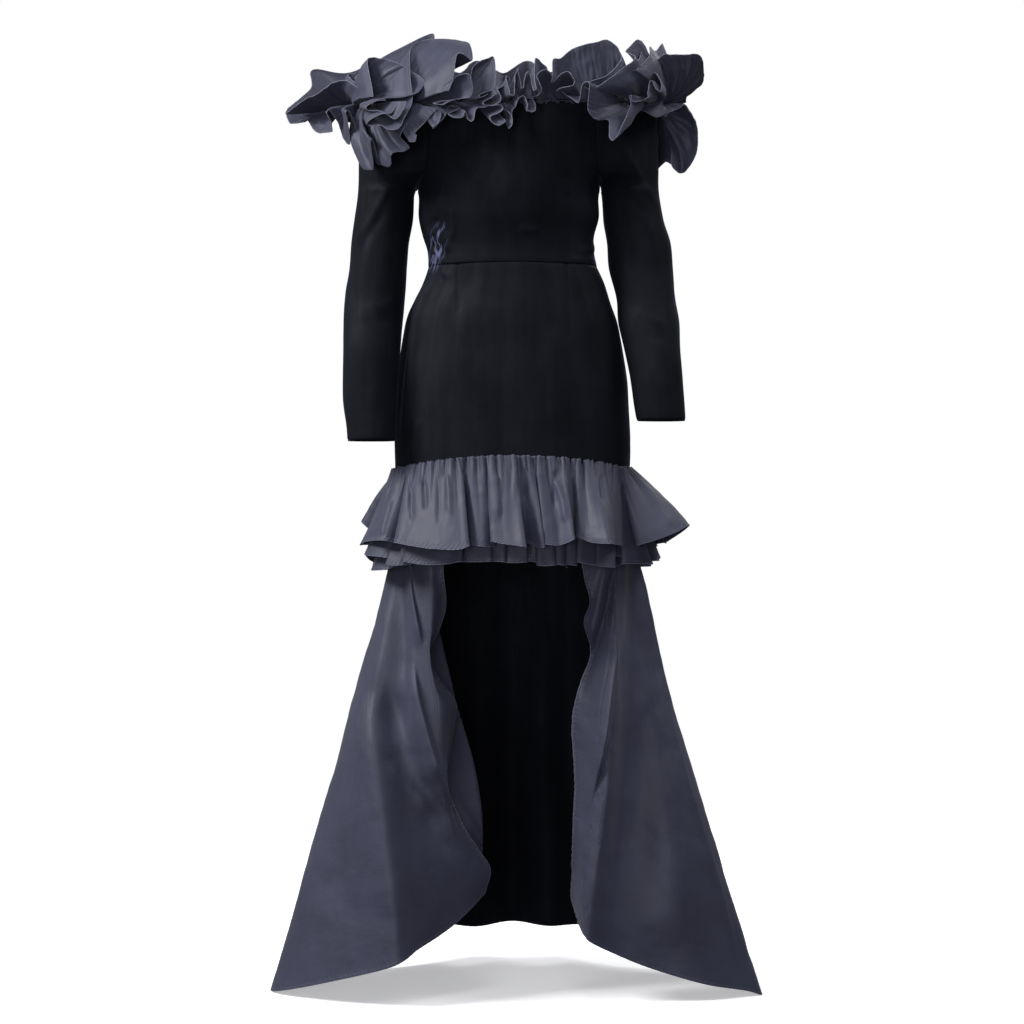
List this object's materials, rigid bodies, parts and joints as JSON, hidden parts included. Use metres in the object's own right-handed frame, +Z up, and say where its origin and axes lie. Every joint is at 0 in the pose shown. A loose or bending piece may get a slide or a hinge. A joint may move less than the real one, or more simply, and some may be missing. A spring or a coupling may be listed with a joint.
{
  "type": "high-low dress",
  "caption": "Worn-form long-sleeved velvet evening dress with a wide gathered taffeta neck ruffle, tiered hip ruffles and an open-front train.",
  "frame": {"origin": "on the wearer's axis at chest height, just under the neckline, where the bodice is held", "axes": "+Z up along the wearer's height, -Y towards the front of the dress, +X towards the viewer's right"},
  "size_m": [0.7928, 0.5218, 1.5576],
  "materials": {
    "velvet": "matte",
    "taffeta": "satin"
  },
  "bodies": {
    "root": {"bodice_front": "velvet", "bodice_back_left": "velvet", "bodice_back_right": "velvet", "skirt_front": "velvet", "skirt_back_left": "velvet", "skirt_back_right": "velvet", "sleeve_left_front": "velvet", "sleeve_left_back": "velvet", "sleeve_right_front": "velvet", "sleeve_right_back": "velvet", "train_back": "velvet", "neck_ruffle_front": "taffeta", "neck_ruffle_left": "taffeta", "neck_ruffle_right": "taffeta", "neck_ruffle_back": "taffeta", "hip_top_front": "taffeta", "hip_top_back": "taffeta", "hip_middle_front": "taffeta", "hip_middle_back": "taffeta", "hip_under_front": "taffeta", "hip_under_back": "taffeta", "train_wing_left": "taffeta", "train_wing_right": "taffeta"}
  },
  "joints": []
}
